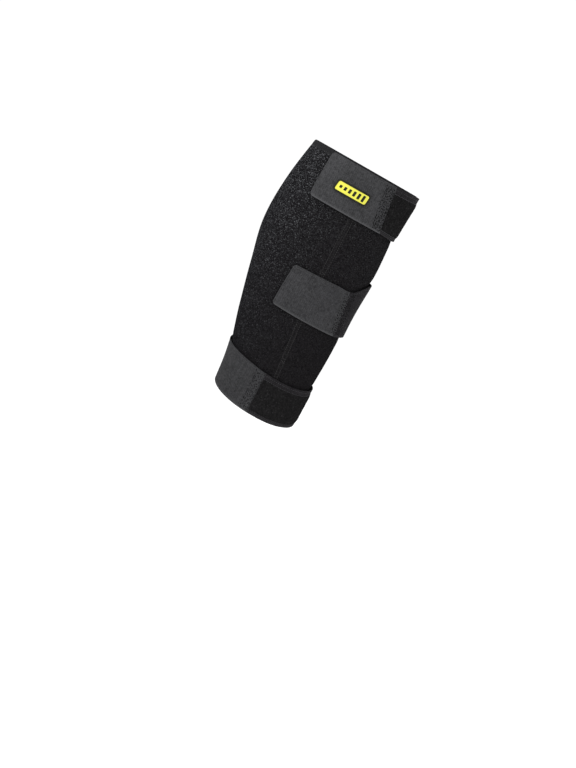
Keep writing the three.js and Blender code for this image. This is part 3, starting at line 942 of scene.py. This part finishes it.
def strap_stitches(place, strap, thread, pale_thread, hole_shade_look):
    """Edge stitching, the zigzag columns where the tab ends, and the crossed box at the root."""
    seams = Seams(strap_point(strap))
    along_tip, across_tip = strap_span(strap, np.float64(0))

    def along_edge(side):
        def line(t):
            u = STITCH_INSET / along_tip + (1 - 2 * STITCH_INSET / along_tip) * t
            share = STITCH_INSET / strap_span(strap, u)[1]
            return u, share if side == 0 else 1 - share
        return line

    seams.row(along_edge(0))
    seams.row(along_edge(1))
    share = STITCH_INSET / across_tip
    root = 1 - ROOT_BOX_NEAR / strap_span(strap, np.float64(0.98))[0]
    box = 1 - ROOT_BOX_FAR / strap_span(strap, np.float64(0.9))[0]
    for u in (STITCH_INSET / along_tip, root, box):
        seams.row(lambda t, u=u: (u + 0 * t, share + (1 - 2 * share) * t))
    seams.row(lambda t: (box + (root - box) * t, share + (1 - 2 * share) * t))
    seams.row(lambda t: (box + (root - box) * t, 1 - share - (1 - 2 * share) * t))
    edges = seams.mesh(f"{place}_edges", EDGE_RADIUS)
    place_piece(f"{place}_strap_thread", edges, materials=[thread])

    columns = Seams(strap_point(strap))
    end = stitch_share(strap)
    along_end = strap_span(strap, np.float64(end))[0]

    def column(distance):
        return lambda t: (end - distance / along_end + 0 * t, 0.05 + 0.9 * t)
    for near, far in COLUMNS:
        columns.zigzag(column(near), column(far), COLUMN_PITCH)
    zigzag = columns.mesh(f"{place}_zigzag", COLUMN_RADIUS)
    place_piece(f"{place}_zigzag_thread", zigzag, materials=[pale_thread])
    # Dark marks for the needle holes: painted shade.
    marks = needle_hole_shade(strap, 7 + len(place)).mesh(f"{place}_marks", NEEDLE_RADIUS)
    place_piece(f"{place}_needle_hole_shade", marks, materials=[hole_shade_look])


# The badge


def rounded_box(x, y, half_x, half_y, radius):
    """Signed distance to a rounded rectangle, negative inside."""
    dx, dy = np.abs(x) - half_x + radius, np.abs(y) - half_y + radius
    outside = np.hypot(np.maximum(dx, 0), np.maximum(dy, 0))
    return outside + np.minimum(np.maximum(dx, dy), 0) - radius


def badge():
    """A soft yellow badge with a raised black edge and a plain row of growing bars."""
    middle_height = SLEEVE_LENGTH - BADGE_DROP
    reach = leg_point(BADGE_ANGLE, middle_height, 0.0) / MM
    degrees = math.degrees(1 / math.hypot(reach[0], reach[1]))
    x = graded(BADGE_LENGTH, BADGE_ROUNDING, BADGE_STEP) - BADGE_LENGTH / 2
    share = graded(BADGE_HEIGHT, BADGE_ROUNDING, BADGE_STEP) / BADGE_HEIGHT * 2 - 1
    half = BADGE_HEIGHT / 2 - corner_inset(BADGE_LENGTH / 2 - np.abs(x), BADGE_CORNER)
    y = half[:, None] * share[None, :]
    x = x[:, None] + 0 * y
    edge = -rounded_box(x, y, BADGE_LENGTH / 2, BADGE_HEIGHT / 2, BADGE_CORNER)
    raised = 0.3 * (1 - smoothstep(edge, BADGE_RIM - 0.1, BADGE_RIM + 0.25))
    bars = np.full(x.shape, 9.0)
    for index, half_length in enumerate(BADGE_BARS):
        centre = (index - (len(BADGE_BARS) - 1) / 2) * BADGE_BAR_SPACING
        bar = rounded_box(x - centre, y, BADGE_BAR_HALF_WIDTH, half_length, BADGE_BAR_CORNER)
        bars = np.minimum(bars, bar)
    raised = raised + 0.25 * (1 - smoothstep(bars, -0.15, 0.15))
    angle, height = BADGE_ANGLE + x * degrees, middle_height + y
    base = HOOK_PAD_THICKNESS + STRAP_THICKNESS + 2 * LAYER_GAP + 0.1 + squeeze(angle, height)
    thick = (BADGE_THICKNESS + 0.1 + raised) * rim(edge, 0.4)
    over = leg_point(angle, height, base + thick)
    under = leg_point(angle, height, base + 0 * thick)
    mesh = sheet_mesh("badge_rubber", over, under, np.stack([edge, bars], -1) * MM)
    place_piece("badge_face", mesh, "badge", [badge_material()])


# The studio

CAMERA_AT = (0.0361, -0.9105, 0.2972)
CAMERA_TILT = 15.63
CAMERA_ROLL = 29.8
CAMERA_LENS = 37.5
SENSOR_WIDTH = 36
LIGHT_AIM = (0, 0, 0.15)
WORLD_STRENGTH = 1.06
FLOOR_DROP = 0.42
FLOOR_RADIUS = 9


def area_light(name, at, size, power):
    light = bpy.data.lights.new(name, "AREA")
    light.shape = "DISK"
    light.size = size
    light.energy = power
    lamp = bpy.data.objects.new(name, light)
    bpy.context.scene.collection.objects.link(lamp)
    lamp.location = at
    lamp.rotation_euler = (Vector(LIGHT_AIM) - Vector(at)).to_track_quat("-Z", "Y").to_euler()


def studio():
    scene = bpy.context.scene
    world = bpy.data.worlds.new("studio_white")
    world.use_nodes = True
    background = world.node_tree.nodes["Background"]
    background.inputs["Color"].default_value = (1.0, 1.0, 1.0, 1.0)
    background.inputs["Strength"].default_value = WORLD_STRENGTH
    scene.world = world
    scene.view_settings.view_transform = "Standard"

    bpy.ops.mesh.primitive_circle_add(
        vertices=96, radius=FLOOR_RADIUS, fill_type="NGON", location=(0, 0, -FLOOR_DROP)
    )
    floor = bpy.context.object
    floor.name = "studio_floor"
    look = Shading("floor_paper", 0.9, 0.0)
    grain = look.noise(0.4)
    floor.data.materials.append(look.finish(look.blend(grain, (0.955, 0.955, 0.955), (0.97, 0.97, 0.97))))

    area_light("key", (-0.85, -0.55, 0.75), 0.55, 6.5)
    area_light("fill", (0.6, -1.1, 0.9), 0.9, 2.5)
    area_light("back_fill", (0.5, 1.1, 0.7), 1.0, 6)

    data = bpy.data.cameras.new("camera")
    data.lens = CAMERA_LENS
    data.sensor_width = SENSOR_WIDTH
    camera = bpy.data.objects.new("camera", data)
    scene.collection.objects.link(camera)
    tilt = Matrix.Rotation(math.radians(90 - CAMERA_TILT), 4, "X")
    roll = Matrix.Rotation(math.radians(CAMERA_ROLL), 4, "Z")
    camera.matrix_world = Matrix.Translation(CAMERA_AT) @ (tilt @ roll)
    scene.camera = camera


def dress():
    """Every piece of the sleeve with its looks. The tabs are paler towards the top: painted light, as the
    light falls from above.
    """
    # Painted light: the three tabs are lit and shaded copies of one elastic, scaled paler towards the top.
    tab_elastics = {
        place: elastic_material(
            f"{place}_tab_elastic",
            tuple(pale * value for value in (0.021, 0.021, 0.022)),
            tuple(pale * value for value in (0.0525, 0.0525, 0.0553)),
            tuple(pale * value for value in (0.066, 0.066, 0.069)),
            0.1,
        )
        for place, pale in (("top", 1.3), ("middle", 1.14), ("bottom", 0.98))
    }
    band_elastic = elastic_material(
        "band_elastic", (0.0105, 0.0096, 0.0107), (0.0265, 0.025, 0.0272), (0.031, 0.0298, 0.032), 0.6
    )
    loop = loop_material()
    hook = hook_material()
    edge_thread = thread_material("edge_thread", (0.045, 0.045, 0.047), (0.085, 0.085, 0.09))
    zigzag_thread = thread_material("zigzag_thread", (0.045, 0.045, 0.047), (0.08, 0.08, 0.084))
    # Painted shade: near-black marks for the shade in the needle holes.
    hole_shade_thread = thread_material("hole_shade_thread", (0.003, 0.003, 0.003), (0.008, 0.008, 0.009))
    patch_thread = thread_material("patch_thread", (0.03, 0.03, 0.031), (0.058, 0.058, 0.061))
    seam_thread = thread_material("seam_thread", (0.028, 0.028, 0.028), (0.066, 0.065, 0.066))
    wrap = neoprene_wrap()
    wrap_stitches(seam_thread)
    for place, strap in STRAPS.items():
        hook_pad(place, strap, hook)
        elastic_strap(place, strap, tab_elastics[place], band_elastic)
        strap_stitches(place, strap, edge_thread, zigzag_thread, hole_shade_thread)
    for place, last_line, row_thread in (("top", 4.5, edge_thread), ("bottom", 7.5, patch_thread)):
        loop_patch(place, STRAPS[place], last_line, loop)
        patch_stitches(place, STRAPS[place], last_line, row_thread)
    badge()


studio()
dress()
